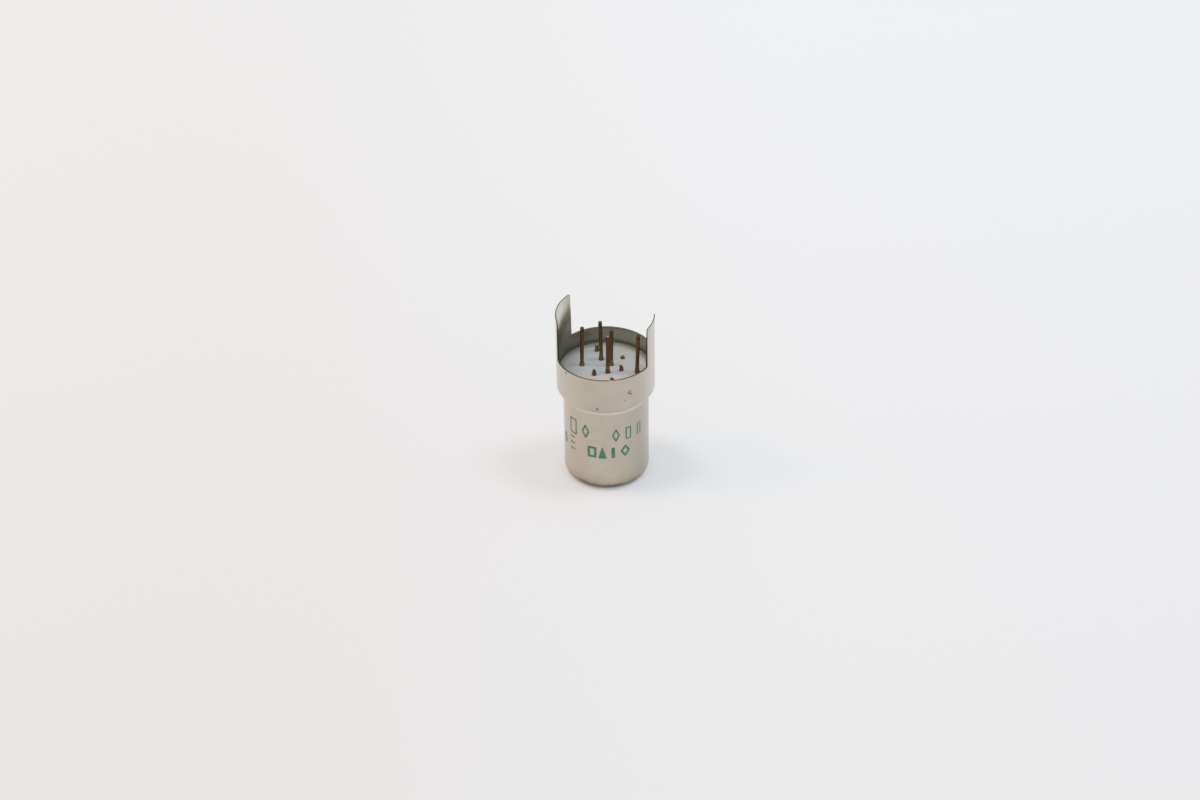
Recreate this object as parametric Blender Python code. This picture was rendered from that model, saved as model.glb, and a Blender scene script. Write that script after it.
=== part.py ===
"""A small sealed metal-and-ceramic vacuum tube, standing on its closed end with its base pins up.

Metres, +Z up. The origin is the centre of the flat closed end, and +X points at the narrow indexing lug.
A drawn metal shell widens into a skirt with two lugs. A ceramic wafer sits on the ledge inside the skirt
and is brazed to it. Eleven leads pass through the wafer: five stand long as contact pins, and six, which
only hold the electrodes inside, are snipped short. The envelope is sealed and opaque, so the shell is one
solid up to the ledge that carries the wafer.
"""

from math import acos, atan2, ceil, copysign, cos, pi, radians, sin

import bmesh
import bpy

MM = 0.001
INCH = 25.4 * MM

# Metal shell
CAN_RADIUS = 4.70 * MM
CAN_CORNER = 1.15 * MM  # rounding between the closed end and the can's side
SHOULDER_WIDTH = 0.70 * MM  # how far the skirt stands out from the can
SHOULDER_EDGE = 0.44 * MM  # rounding of the shoulder's outer edge
NECK_FILLET = 0.68 * MM  # hollow rounding where the can's side turns out into the shoulder
LEDGE_CORNER = 0.28 * MM  # rounding inside the shoulder, round the wafer's ledge
SKIRT_WALL = 0.20 * MM
SKIRT_LENGTH = 4.30 * MM  # underside of the shoulder to the rim
RIM_HEIGHT = 15.20 * MM  # closed end to the rim, which seats on the socket

# Indexing lugs, which stand on the rim
LUG_LENGTH = 5.12 * MM
LUG_CORNER = 0.30 * MM
NARROW_LUG_HALF_ANGLE = radians(18)
WIDE_LUG_HALF_ANGLE = radians(30)

# Ceramic wafer and the braze that seals it to the skirt
WAFER_THICKNESS = 2.16 * MM
WAFER_CHAMFER = 0.10 * MM
SEAL_WIDTH = 0.20 * MM
SEAL_HEIGHT = 0.26 * MM

# Leads: four circles on the wafer, three places on each
OUTER_CIRCLE_RADIUS = 0.280 * INCH / 2
SECOND_CIRCLE_RADIUS = 0.210 * INCH / 2
THIRD_CIRCLE_RADIUS = 0.140 * INCH / 2
INNER_CIRCLE_RADIUS = 0.070 * INCH / 2
LEAD_RADIUS = 0.21 * MM
PIN_REACH = 4.92 * MM  # wafer face to the tip of the longest contact pin
TIP_CHAMFER = 0.05 * MM
SNIP_DEPTH = 0.26 * MM  # height of the wedge that the cutters leave on a stub
SNIP_LENGTH = 0.70  # the wedge's edge, as a share of the lead's width
SNIP_WIDTH = 0.25  # the flat left on that edge, as a share of the lead's width

# Copper braze round each lead
BRAZE_FOOT = 0.07 * MM  # how far its foot spreads
PIN_BRAZE_HEIGHT = 0.70 * MM
STUB_BRAZE_SHARE = 0.50  # height of a stub's braze as a share of the stub
BRAZE_LIP = 0.01 * MM  # thickness of any braze where it fades out on a wall

# Clearance between pieces that meet
JOINT_GAP = 0.02 * MM

SHELL_STEP = radians(6)
ARC_STEPS = 6
LEAD_SIDES = 16
DRILL_OVERSHOOT = 0.5 * MM
SHARP_ANGLE = radians(32)
FLAT_END = 0.999  # a face whose normal is this close to Z is shaded flat

SKIRT_RADIUS = CAN_RADIUS + SHOULDER_WIDTH
SKIRT_BORE = SKIRT_RADIUS - SKIRT_WALL
SHOULDER_Z = RIM_HEIGHT - SKIRT_LENGTH
LEDGE_Z = SHOULDER_Z + SKIRT_WALL
WAFER_RADIUS = SKIRT_BORE - JOINT_GAP
WAFER_BASE_Z = LEDGE_Z + JOINT_GAP
WAFER_FACE_Z = WAFER_BASE_Z + WAFER_THICKNESS
LEAD_BORE = LEAD_RADIUS + JOINT_GAP

# Contact pins: name, circle, angle, how much was trimmed off, and how far the tip is bent along X and Y
CONTACT_PINS = (
    ("plate_pin", OUTER_CIRCLE_RADIUS, radians(0), 0.08 * MM, 0.15 * MM, 0.04 * MM),
    ("grid_pin", SECOND_CIRCLE_RADIUS, radians(180), 0.01 * MM, 0.07 * MM, 0.02 * MM),
    ("cathode_pin", THIRD_CIRCLE_RADIUS, radians(120), 0.00 * MM, -0.07 * MM, -0.02 * MM),
    ("heater_pin_1", INNER_CIRCLE_RADIUS, radians(60), 0.38 * MM, 0.07 * MM, 0.02 * MM),
    ("heater_pin_2", INNER_CIRCLE_RADIUS, radians(300), 0.20 * MM, 0.06 * MM, 0.02 * MM),
)

# Snipped leads: name, circle, angle, height above the wafer, and the direction of the cut's edge
SHORT_LEADS = (
    ("plate_stub_1", OUTER_CIRCLE_RADIUS, radians(120), 0.78 * MM, radians(40)),
    ("plate_stub_2", OUTER_CIRCLE_RADIUS, radians(240), 0.45 * MM, radians(150)),
    ("grid_stub_1", SECOND_CIRCLE_RADIUS, radians(60), 0.42 * MM, radians(75)),
    ("grid_stub_2", SECOND_CIRCLE_RADIUS, radians(300), 0.55 * MM, radians(120)),
    ("cathode_stub_1", THIRD_CIRCLE_RADIUS, radians(0), 0.60 * MM, radians(50)),
    ("cathode_stub_2", THIRD_CIRCLE_RADIUS, radians(240), 0.68 * MM, radians(105)),
)


def make_material(name, colour, roughness, metallic):
    material = bpy.data.materials.new(name)
    material.use_nodes = True
    shader = material.node_tree.nodes["Principled BSDF"]
    shader.inputs["Base Color"].default_value = (*colour, 1)
    shader.inputs["Roughness"].default_value = roughness
    shader.inputs["Metallic"].default_value = metallic
    material.diffuse_color = (*colour, 1)
    return material


def add_object(name, bm, material, parent, location=(0, 0, 0)):
    """Makes the object, shaded smooth where it is round, sharp at its edges and flat on its ends."""
    bmesh.ops.recalc_face_normals(bm, faces=bm.faces)
    mesh = bpy.data.meshes.new(name)
    bm.to_mesh(mesh)
    bm.free()
    mesh.shade_smooth()
    mesh.set_sharp_from_angle(angle=SHARP_ANGLE)
    for face in mesh.polygons:
        face.use_smooth = abs(face.normal.z) < FLAT_END
    mesh.materials.append(material)
    obj = bpy.data.objects.new(name, mesh)
    bpy.context.scene.collection.objects.link(obj)
    obj.location = location
    obj.parent = parent
    return obj


def arc(centre, radius, start, end):
    """Points (r, z) along an arc of a profile."""
    turn = (end - start) / ARC_STEPS
    angles = (start + turn * i for i in range(ARC_STEPS + 1))
    return [(centre[0] + radius * cos(a), centre[1] + radius * sin(a)) for a in angles]


def even_angles(sides):
    return [2 * pi * i / sides for i in range(sides)]


def shell_angles():
    """Angles round the shell, with one on each side edge of each lug."""
    edges = (
        -NARROW_LUG_HALF_ANGLE,
        NARROW_LUG_HALF_ANGLE,
        pi - WIDE_LUG_HALF_ANGLE,
        pi + WIDE_LUG_HALF_ANGLE,
        2 * pi - NARROW_LUG_HALF_ANGLE,
    )
    angles = []
    for start, end in zip(edges, edges[1:]):
        # An even count puts an angle on each middle line, so the outline is as wide as the circle.
        steps = 2 * max(1, ceil((end - start) / (2 * SHELL_STEP)))
        angles += [start + (end - start) * i / steps for i in range(steps)]
    return angles


def turn_profile(bm, profile, angles, closed=False):
    """Turns a profile of (r, z) points about Z. Returns the row of faces that each stretch of it makes."""
    rings = []
    for r, z in profile:
        around = angles if r > 0 else angles[:1]
        rings.append([bm.verts.new((r * cos(a), r * sin(a), z)) for a in around])
    pairs = list(zip(rings, rings[1:]))
    if closed:
        pairs.append((rings[-1], rings[0]))
    rows = []
    for low, high in pairs:
        row = []
        for i in range(len(angles)):
            j = (i + 1) % len(angles)
            corners = (low[i % len(low)], low[j % len(low)], high[j % len(high)], high[i % len(high)])
            row.append(bm.faces.new(dict.fromkeys(corners)))
        rows.append(row)
    return rows


def stack_rings(bm, rings):
    """Joins rings of points into a closed solid, with a flat cap on the first and the last."""
    loops = [[bm.verts.new(point) for point in ring] for ring in rings]
    for low, high in zip(loops, loops[1:]):
        for i in range(len(low)):
            j = (i + 1) % len(low)
            bm.faces.new((low[i], low[j], high[j], high[i]))
    bm.faces.new(loops[0][::-1])
    bm.faces.new(loops[-1])


def shoulder_profile():
    """The shoulder's section: a hollow fillet off the can's side, then its round edge up onto the skirt.

    Both turn by the slope that just fills the shoulder's width, and by a right angle, with a flat stretch
    between them, where the shoulder is wider than the two roundings.
    """
    both = NECK_FILLET + SHOULDER_EDGE
    slope = acos(max(0, 1 - SHOULDER_WIDTH / both))
    edge_z = SHOULDER_Z + SHOULDER_EDGE
    neck = arc((CAN_RADIUS + NECK_FILLET, edge_z - both * sin(slope)), NECK_FILLET, pi, pi - slope)
    edge = arc((SKIRT_RADIUS - SHOULDER_EDGE, edge_z), SHOULDER_EDGE, -slope, 0)
    return neck + edge if SHOULDER_WIDTH > both else neck + edge[1:]


def shell_profile():
    """The drawn shell's section: up the outside, over the rim and down the skirt's bore to the ledge."""
    outside = [(0, 0)]
    outside += arc((CAN_RADIUS - CAN_CORNER, CAN_CORNER), CAN_CORNER, -pi / 2, 0)
    outside += shoulder_profile()
    outside.append((SKIRT_RADIUS, RIM_HEIGHT))
    inside = [(SKIRT_BORE, RIM_HEIGHT)]
    inside += arc((SKIRT_BORE - LEDGE_CORNER, LEDGE_Z + LEDGE_CORNER), LEDGE_CORNER, 0, -pi / 2)
    inside.append((0, LEDGE_Z))
    return outside, inside


def on_lug(face):
    """Whether a face of the rim lies under one of the lugs."""
    middle = face.calc_center_median()
    half_angle = NARROW_LUG_HALF_ANGLE if middle.x > 0 else WIDE_LUG_HALF_ANGLE
    return atan2(abs(middle.y), abs(middle.x)) < half_angle


def is_lug_corner(edge, tops):
    """Whether an edge runs across the wall at one end of a lug's top."""
    inner, outer = sorted(vertex.co.xy.length for vertex in edge.verts)
    return sum(face in tops for face in edge.link_faces) == 1 and outer - inner > SKIRT_WALL / 2


def make_shell(material, parent):
    """The shell, drawn from one blank. The lugs are what is left where the skirt's rim was cut back."""
    outside, inside = shell_profile()
    bm = bmesh.new()
    rows = turn_profile(bm, outside + inside, shell_angles())
    rim = rows[len(outside) - 1]
    roots = [face for face in rim if on_lug(face)]
    raised = bmesh.ops.extrude_face_region(bm, geom=roots)["geom"]
    bmesh.ops.delete(bm, geom=roots, context="FACES_ONLY")
    tops = {item for item in raised if isinstance(item, bmesh.types.BMFace)}
    corners = {edge for face in tops for edge in face.edges if is_lug_corner(edge, tops)}
    lifted = [item for item in raised if isinstance(item, bmesh.types.BMVert)]
    bmesh.ops.translate(bm, vec=(0, 0, LUG_LENGTH), verts=lifted)
    bmesh.ops.bevel(
        bm, geom=list(corners), offset=LUG_CORNER, segments=ARC_STEPS, affect="EDGES", profile=0.5
    )
    return add_object("metal_shell", bm, material, parent)


def make_wafer(material, parent, leads):
    """The wafer drops onto the ledge. Its lower edge is chamfered to clear the ledge's rounded corner."""
    seat_chamfer = max(LEDGE_CORNER, WAFER_CHAMFER)
    profile = [
        (0, WAFER_BASE_Z),
        (WAFER_RADIUS - seat_chamfer, WAFER_BASE_Z),
        (WAFER_RADIUS, WAFER_BASE_Z + seat_chamfer),
        (WAFER_RADIUS, WAFER_FACE_Z - WAFER_CHAMFER),
        (WAFER_RADIUS - WAFER_CHAMFER, WAFER_FACE_Z),
        (0, WAFER_FACE_Z),
    ]
    bm = bmesh.new()
    turn_profile(bm, profile, shell_angles())
    wafer = add_object("ceramic_wafer", bm, material, parent)

    drills = bmesh.new()
    for x, y in leads:
        low = WAFER_BASE_Z - DRILL_OVERSHOOT
        high = WAFER_FACE_Z + DRILL_OVERSHOOT
        stack_rings(drills, [round_ring(x, y, LEAD_BORE, z) for z in (low, high)])
    cutter = add_object("lead_holes", drills, material, parent)
    cutter.hide_render = True
    cutter.display_type = "WIRE"
    cut = wafer.modifiers.new("lead_holes", "BOOLEAN")
    cut.operation = "DIFFERENCE"
    cut.solver = "EXACT"
    cut.object = cutter
    return wafer


def fillet_profile(wall, foot, height):
    """Section of a hollow-sided fillet that climbs a wall at a radius and spreads its foot on the wafer."""
    low = WAFER_FACE_Z + JOINT_GAP
    lip = copysign(BRAZE_LIP, foot)
    profile = [(wall, low + height), (wall, low)]
    for i in range(ARC_STEPS + 1):
        share = i / ARC_STEPS
        profile.append((wall + lip + (foot - lip) * (1 - share) ** 2, low + height * share))
    return profile


def make_seal(material, parent):
    """The fillet of braze in the corner between the wafer's face and the skirt. Its foot spreads inwards."""
    bm = bmesh.new()
    profile = fillet_profile(SKIRT_BORE - JOINT_GAP, -SEAL_WIDTH, SEAL_HEIGHT)
    turn_profile(bm, profile, shell_angles(), closed=True)
    return add_object("wafer_seal", bm, material, parent)


def round_ring(x, y, radius, z):
    return [(x + radius * cos(a), y + radius * sin(a), z) for a in even_angles(LEAD_SIDES)]


def make_pin(name, trim, bend_x, bend_y, material, parent, x, y):
    """A long lead: straight through the wafer and its braze, then bent a little towards its tip."""
    straight = WAFER_FACE_Z + JOINT_GAP + PIN_BRAZE_HEIGHT
    tip = WAFER_FACE_Z + PIN_REACH - trim
    rings = [
        round_ring(0, 0, LEAD_RADIUS, WAFER_BASE_Z),
        round_ring(0, 0, LEAD_RADIUS, straight),
        round_ring(bend_x, bend_y, LEAD_RADIUS, tip - TIP_CHAMFER),
        round_ring(bend_x, bend_y, LEAD_RADIUS - TIP_CHAMFER, tip),
    ]
    bm = bmesh.new()
    stack_rings(bm, rings)
    return add_object(name, bm, material, parent, (x, y, 0))


def snipped_ring(cut_direction, z):
    """The lead's outline pinched towards a line, as the cutters leave it."""
    ring = []
    for angle in even_angles(LEAD_SIDES):
        along = LEAD_RADIUS * SNIP_LENGTH * cos(angle - cut_direction)
        across = LEAD_RADIUS * SNIP_WIDTH * sin(angle - cut_direction)
        x = along * cos(cut_direction) - across * sin(cut_direction)
        y = along * sin(cut_direction) + across * cos(cut_direction)
        ring.append((x, y, z))
    return ring


def make_stub(name, height, cut_direction, material, parent, x, y):
    """A short lead, snipped off just above the wafer."""
    tip = WAFER_FACE_Z + height
    rings = [
        round_ring(0, 0, LEAD_RADIUS, WAFER_BASE_Z),
        round_ring(0, 0, LEAD_RADIUS, tip - SNIP_DEPTH),
        snipped_ring(cut_direction, tip),
    ]
    bm = bmesh.new()
    stack_rings(bm, rings)
    return add_object(name, bm, material, parent, (x, y, 0))


def make_braze(name, height, material, parent, x, y):
    """The fillet of copper that climbs a lead from the wafer's face."""
    bm = bmesh.new()
    turn_profile(bm, fillet_profile(LEAD_BORE, BRAZE_FOOT, height), even_angles(LEAD_SIDES), closed=True)
    return add_object(name, bm, material, parent, (x, y, 0))


def main():
    for obj in list(bpy.data.objects):
        bpy.data.objects.remove(obj, do_unlink=True)

    nickel = make_material("nickel_plate", (0.50, 0.46, 0.40), 0.38, 1.0)
    ceramic = make_material("white_ceramic", (0.62, 0.63, 0.64), 0.60, 0.0)
    seal_metal = make_material("seal_braze", (0.12, 0.13, 0.10), 0.50, 1.0)
    lead_metal = make_material("oxidised_lead", (0.16, 0.09, 0.045), 0.45, 1.0)
    copper = make_material("copper_braze", (0.30, 0.14, 0.06), 0.45, 1.0)

    tube = bpy.data.objects.new("tube", None)
    bpy.context.scene.collection.objects.link(tube)

    places = {}
    for name, circle, angle, *_ in CONTACT_PINS + SHORT_LEADS:
        places[name] = (circle * cos(angle), circle * sin(angle))

    make_shell(nickel, tube)
    make_wafer(ceramic, tube, places.values())
    make_seal(seal_metal, tube)
    for name, _, _, trim, bend_x, bend_y in CONTACT_PINS:
        make_pin(name, trim, bend_x, bend_y, lead_metal, tube, *places[name])
        make_braze(name + "_braze", PIN_BRAZE_HEIGHT, copper, tube, *places[name])
    for name, _, _, height, cut_direction in SHORT_LEADS:
        make_stub(name, height, cut_direction, lead_metal, tube, *places[name])
        make_braze(name + "_braze", height * STUB_BRAZE_SHARE, copper, tube, *places[name])


main()
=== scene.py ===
from math import acos, ceil, copysign, cos, exp, pi, radians, sin, sqrt

import bmesh
import bpy
from mathutils import Matrix, Vector, noise


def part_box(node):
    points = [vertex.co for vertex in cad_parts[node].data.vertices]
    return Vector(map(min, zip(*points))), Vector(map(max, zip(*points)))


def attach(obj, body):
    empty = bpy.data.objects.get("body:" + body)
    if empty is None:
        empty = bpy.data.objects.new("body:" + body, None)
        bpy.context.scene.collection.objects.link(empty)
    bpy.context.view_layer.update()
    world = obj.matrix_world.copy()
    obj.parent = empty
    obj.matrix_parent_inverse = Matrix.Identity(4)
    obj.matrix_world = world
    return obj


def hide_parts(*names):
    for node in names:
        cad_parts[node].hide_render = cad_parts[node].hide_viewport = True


# The looks of a small metal-and-ceramic vacuum tube, standing on its closed end with its base pins up.
# Metres, +Z up, +X towards the narrow lug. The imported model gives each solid's place and size.

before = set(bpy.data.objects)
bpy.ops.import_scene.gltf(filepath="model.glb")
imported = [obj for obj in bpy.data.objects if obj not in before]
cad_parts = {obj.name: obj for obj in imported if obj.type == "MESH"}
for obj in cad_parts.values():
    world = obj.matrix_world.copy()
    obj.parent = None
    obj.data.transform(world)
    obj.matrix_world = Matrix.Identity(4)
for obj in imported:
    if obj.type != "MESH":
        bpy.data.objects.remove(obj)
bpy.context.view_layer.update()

MM = 0.001

# The camera: where it stands and aims, as fitted to the photograph
VIEW_TURN = radians(15)
VIEW_PITCH = radians(34.807)
VIEW_ROLL = radians(0.893)
VIEW_DISTANCE = 341.46 * MM
VIEW_AIM = 9.73 * MM
VIEW_OFFSET_RIGHT = 0.661 * MM
VIEW_OFFSET_UP = 0.597 * MM
LENS = 93.03
SENSOR_WIDTH = 36
CLIP_START = 10 * MM

# Floor and light
FLOOR_SIZE = 3.0
NEAR_FLOOR_COLOUR = (0.845, 0.838, 0.840)
FAR_FLOOR_PAINTED_LIGHT = (0.905, 0.908, 0.922)
LEFT_PAINTED_SHADE = (0.960, 0.952, 0.940)  # painted shade: the floor is a little darker and warmer to the left
RIGHT_PAINTED_LIGHT = (0.992, 0.998, 1.010)
NEAR_FLOOR = -70  # mm from the tube, towards the camera, where the floor's shade begins to change
FAR_FLOOR = 160
LEFT_FLOOR = -50  # mm to the camera's right, where its tint begins to change
RIGHT_FLOOR = 30
TOOTH_COLOUR = (0.75, 0.75, 0.75)
BACKGROUND_COLOUR = (0.87, 0.875, 0.885)
AMBIENT_COLOUR = (0.504, 0.579, 0.589)
FLOOR_GLOW = 0.45  # how much of the floor's own shade the camera sees, in the tube's shadow too
GLOW_RADII = (3.78, 4.5)  # mm from the axis, where that glow begins and where it is full
LAMP_DISTANCE = 0.60
LAMP_SIZE = 0.13

# Lamps: name, bearing anticlockwise from the camera's right, elevation, power and colour
LAMPS = (
    ("left_lamp", radians(180), radians(75), 0.744, (1.0, 0.97, 0.93)),
    ("low_left_lamp", radians(180), radians(47), 0.60, (1.0, 0.30, 0.0)),
    ("right_lamp", radians(0), radians(70), 0.74, (0.90, 0.95, 1.10)),
)

# The shell's section, as the solid has it
CAN_RADIUS = 4.70 * MM
CAN_CORNER = 1.15 * MM
SHOULDER_EDGE = 0.44 * MM
NECK_FILLET = 0.68 * MM
SKIRT_WALL = 0.20 * MM
SKIRT_LENGTH = 4.30 * MM
RIM_HEIGHT = 15.20 * MM
LEDGE_CORNER = 0.28 * MM
CUT_ROUNDING = 0.03 * MM  # wear on the edges where the sheet was cut
RUBBED_SPOT = (1.86 * MM, -4.96 * MM, 15.20 * MM)  # where the rim's dark edge is rubbed bright

# The lugs
LUG_CORNER = 0.30 * MM  # rounding of its top corners
LUG_ROOT = 0.20 * MM  # fillet between a lug's side and the rim
NARROW_LUG_HALF_ANGLE = radians(18)
WIDE_LUG_HALF_ANGLE = radians(30)
NARROW_LUG_SHORT = 0.10 * MM  # how much shorter it was cut
WIDE_LUG_TALL = 0.10 * MM  # how much taller it was cut
WIDE_LUG_SLANT = 0.12 * MM  # its top edge rises towards the back and falls towards the front
LUG_THINNING = 0.10 * MM  # how much thinner the sheet is at a lug's top
LUG_THINNING_CURVE = 1.5

# Unevenness left by the drawing press
WALL_WAVE = 0.012 * MM
WALL_WAVE_START = 1.5 * MM  # the height above the closed end where it has its full size
WAVES_ROUND = 2.2  # how fine the waves are round the tube, and up it
WAVE_HEIGHT = 3 * MM
FLAT_SHARE = 0.8  # the share of the can's radius that the waves leave out on its flat ends
SHOULDER_WAVE = 0.10 * MM
SHOULDER_WAVE_RISE = 0.2 * MM  # its middle's height above the shoulder
SHOULDER_WAVE_SPREAD = 0.9 * MM
KINK_PLACE = radians(-82)  # round the tube, where the shoulder has its one sharper kink
KINK_SLOPE = -0.9 / radians(7)
KINK_WIDTH = radians(9)

# Braze: how far it spreads on the wafer, how high it climbs, and how ragged it is
SEAL_WIDTH = 0.10 * MM
SEAL_HEIGHT = 0.40 * MM
PIN_BRAZE_FOOT = 0.10 * MM
PIN_BRAZE_HEIGHT = 0.85 * MM
STUB_BRAZE_FOOT = 0.07 * MM
STUB_BRAZE_SHARE = 0.5  # its height as a share of the stub's
RAGGED = 0.15
PIN_LUMPS = 1.6  # how fine its raggedness is round a lead, and round the seal
SEAL_LUMPS = 9
FILLET_CURVE = 1.7  # how hollow its side is
BURIED = 0.012 * MM  # how deep a piece that lies on another reaches into it

# Contact pins
PIN_STRAIGHT = 0.72 * MM  # wafer's face to where the pin starts to bend
PIN_SWAY = 0.012 * MM  # how crooked it is above that
SWAY_LENGTH = 1.4 * MM
PIN_PITS = 0.004 * MM
PIT_LENGTH = 0.4 * MM
TIP_ROUNDING = 0.045 * MM
TIP_SLOPE = 0.16  # the slope of the cut at a tip
PALE_AND_GLINT_TIPS = ("heater_pin_2", "grid_stub_1", "grid_stub_2")  # leads whose cut ends are pale; on heater_pin_2 the pale end is a painted glint

SNIP_DEPTH = 0.45  # as a share of the stub's height
STUB_ROUGHNESS = 0.04 * MM

# Snipped leads: name, how much shorter than the solid, direction of the cut's edge, its length and
# width as shares of the lead's, how far its end leans that way, its slope that way and its nick's depth
SNIPS = (
    ("plate_stub_1", 0.00 * MM, radians(15), 1.18, 0.65, -0.05 * MM, 0.10, 0.24 * MM),
    ("plate_stub_2", 0.02 * MM, radians(150), 0.75, 0.40, 0.02 * MM, 0.15, 0.04 * MM),
    ("grid_stub_1", 0.11 * MM, radians(60), 0.60, 0.50, 0.00 * MM, 0.10, 0.00 * MM),
    ("grid_stub_2", 0.08 * MM, radians(20), 0.60, 0.40, -0.10 * MM, -0.25, 0.02 * MM),
    ("cathode_stub_1", 0.00 * MM, radians(20), 0.90, 0.55, -0.06 * MM, -0.45, 0.02 * MM),
    ("cathode_stub_2", 0.02 * MM, radians(10), 0.60, 0.55, 0.00 * MM, 0.10, 0.00 * MM),
)


def join_corners(*corners):
    """The strokes of a closed shape, all of full width."""
    return [(start, end, 1, 1) for start, end in zip(corners, corners[1:] + corners[:1])]


# Ink: strokes of simple shapes in a box one unit wide and high. Each stroke is its two ends and the
# share of the mark's stroke width that it has at each of them.
HOLLOW_BOX = join_corners((0, 0), (1, 0), (1, 1), (0, 1))
HOLLOW_DIAMOND = join_corners((0.5, 0), (1, 0.5), (0.5, 1), (0, 0.5))
SOLID_TRIANGLE = (((0.5, 0), (0.5, 1), 1, 0.12),)
SOLID_BOX = (((0.5, 0), (0.5, 1), 1, 1),)
TWO_BARS = (((0.1, 0), (0.1, 1), 1, 1), ((0.9, 0), (0.9, 1), 1, 1))
THREE_DASHES = (((0, 0), (1, 0), 1, 1), ((0, 0.5), (1, 0.5), 1, 1), ((0, 1), (1, 1), 1, 1))

# Marks: shape, degrees round the can, and in mm its lowest and highest point, width and stroke width
MARKS = (
    (HOLLOW_BOX, -95.5, 4.45, 5.90, 1.05, 0.29),
    (SOLID_TRIANGLE, -81, 4.40, 5.85, 1.10, 1.00),
    (SOLID_BOX, -66.5, 4.45, 5.85, 0.40, 0.40),
    (HOLLOW_DIAMOND, -49.5, 4.45, 5.95, 1.15, 0.27),
    (HOLLOW_DIAMOND, -62.5, 6.60, 8.25, 0.90, 0.19),
    (HOLLOW_BOX, -44.5, 6.65, 8.25, 0.72, 0.17),
    (TWO_BARS, -26.5, 6.65, 8.30, 0.70, 0.17),
    (HOLLOW_DIAMOND, -104.5, 6.85, 8.60, 0.95, 0.21),
    (HOLLOW_BOX, -125.5, 6.75, 8.80, 1.05, 0.18),
    (THREE_DASHES, -127.5, 4.60, 6.35, 0.85, 0.20),
    (HOLLOW_DIAMOND, -146, 4.50, 6.10, 0.80, 0.20),
)
INK_THICKNESS = 0.006 * MM
INK_EDGE_WAVE = 0.03 * MM
INK_WAVE_LENGTH = 0.25 * MM
STROKE_END = 0.75  # a stroke's width at its ends, as a share of its full width
STROKE_OVERLAP = 0.8  # how far a stroke reaches past its end, as a share of half its width
STROKE_LIFT = 0.35  # how much thicker each next stroke is, as a share of the first
FILM_EDGE = 0.35  # a film's thickness at its edge, as a share of its middle's

# Specks of corrosion: degrees round the skirt, and in mm the height it is at, its width and its height
SPECKS = (
    (-47.6, 13.25, 0.20, 0.52),
    (-44.9, 13.03, 0.24, 0.20),
    (-45.4, 13.44, 0.17, 0.15),
    (-53.0, 12.40, 0.14, 0.15),
    (-85.5, 11.50, 0.26, 0.32),
    (-128, 14.90, 0.26, 0.28),
)
SPECK_THICKNESS = 0.02 * MM
SPECK_RAGGED = 0.6
SPECK_SWAY = 0.25

# How finely the shapes are divided, and which edges are shaded sharp
SHELL_STEP = radians(1.25)
ROW_STEP = 0.25 * MM
ARC_STEPS = 8
FLAT_STEPS = 6
LUG_ROOT_STEPS = 4
LUG_CORNER_STEPS = 7
LEAD_SIDES = 28
SEAL_SIDES = 432
BRAZE_SIDES = 40
FILLET_STEPS = 8
TIP_STEPS = 4
SNIP_STEPS = 8
SPECK_STEPS = 8
FILM_STEP = 0.10 * MM
SHARP_ANGLE = radians(60)
CUT_SHARP_ANGLE = radians(50)  # on the pieces that were cut or snipped

# Tones of the plated sheet, several of them painted light and shade
NICKEL_DARK = (0.540, 0.480, 0.392)
NICKEL_LIGHT = (0.590, 0.535, 0.445)
# Painted reflections on the can's sides, and painted highlights at the skirt's edges
NICKEL_WARM_REFLECTION = (0.625, 0.515, 0.415)
NICKEL_SHADOW_REFLECTION = (0.505, 0.455, 0.385)
NICKEL_PALE_HIGHLIGHT = (0.665, 0.632, 0.580)
NICKEL_LEFT_HIGHLIGHT = (0.625, 0.575, 0.485)
TARNISH = (0.42, 0.33, 0.225)
# Tarnish at the foot, deepened by painted contact shade
FOOT_TARNISH_AND_SHADE = (0.130, 0.074, 0.018)
# A painted highlight below the shoulder, and painted shade on its underside
NECK_HIGHLIGHT = (0.70, 0.66, 0.60)
UNDERSIDE_SHADE = (0.22, 0.19, 0.145)
# Inside: a painted highlight on the lugs, and brazing's browning with painted shade, darker to the left
LUG_INSIDE_HIGHLIGHT = (0.94, 0.915, 0.880)
BROWN_AND_SHADE_LEFT = (0.255, 0.207, 0.162)
BROWN_AND_SHADE_RIGHT = (0.362, 0.343, 0.278)
CUT_FRONT_SHADED = (0.062, 0.059, 0.050)
CUT_BACK_LIT = (0.155, 0.151, 0.080)
CUT_RUBBED = (0.22, 0.20, 0.15)
CUT_BURR = (0.38, 0.32, 0.25)
RUBBED_SPOT_COLOUR = (0.36, 0.33, 0.22)

# Where those tones begin and are full, in mm: heights, radii and ways to the camera's right
CAN_HEIGHTS = (11.0, 10.2)
WARM_REFLECTION_LEFT = (-1.0, -4.2)
SHADOW_REFLECTION_RIGHT = (0.8, 3.8)
HIGHLIGHT_RIGHT = (3.4, 5.2)
HIGHLIGHT_LEFT = (-1.0, -4.6)
TARNISH_HEIGHTS = (3.0, 1.1)
FOOT_TARNISH_AND_SHADE_HEIGHTS = (1.66, 0.88)
NECK_HIGHLIGHT_HEIGHTS = (10.15, 10.32)
NECK_HIGHLIGHT_RADII = (5.0, 4.9)
UNDERSIDE_SHADE_INNER = (4.85, 5.0)
UNDERSIDE_SHADE_OUTER = (5.27, 5.20)
UNDERSIDE_SHADE_HEIGHTS = (11.15, 11.0)
LUG_HIGHLIGHT_HEIGHTS = (17.3, 19.8)
BROWN_AND_SHADE_WAYS = (-5.0, 3.8)
BROWN_AND_SHADE_HEIGHTS = (17.4, 14.9)

# Tones of the other materials, and the radii in mm where the stain and the thin seal begin
CERAMIC_DARK = (0.497, 0.505, 0.496)
CERAMIC_LIGHT = (0.560, 0.566, 0.553)
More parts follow.
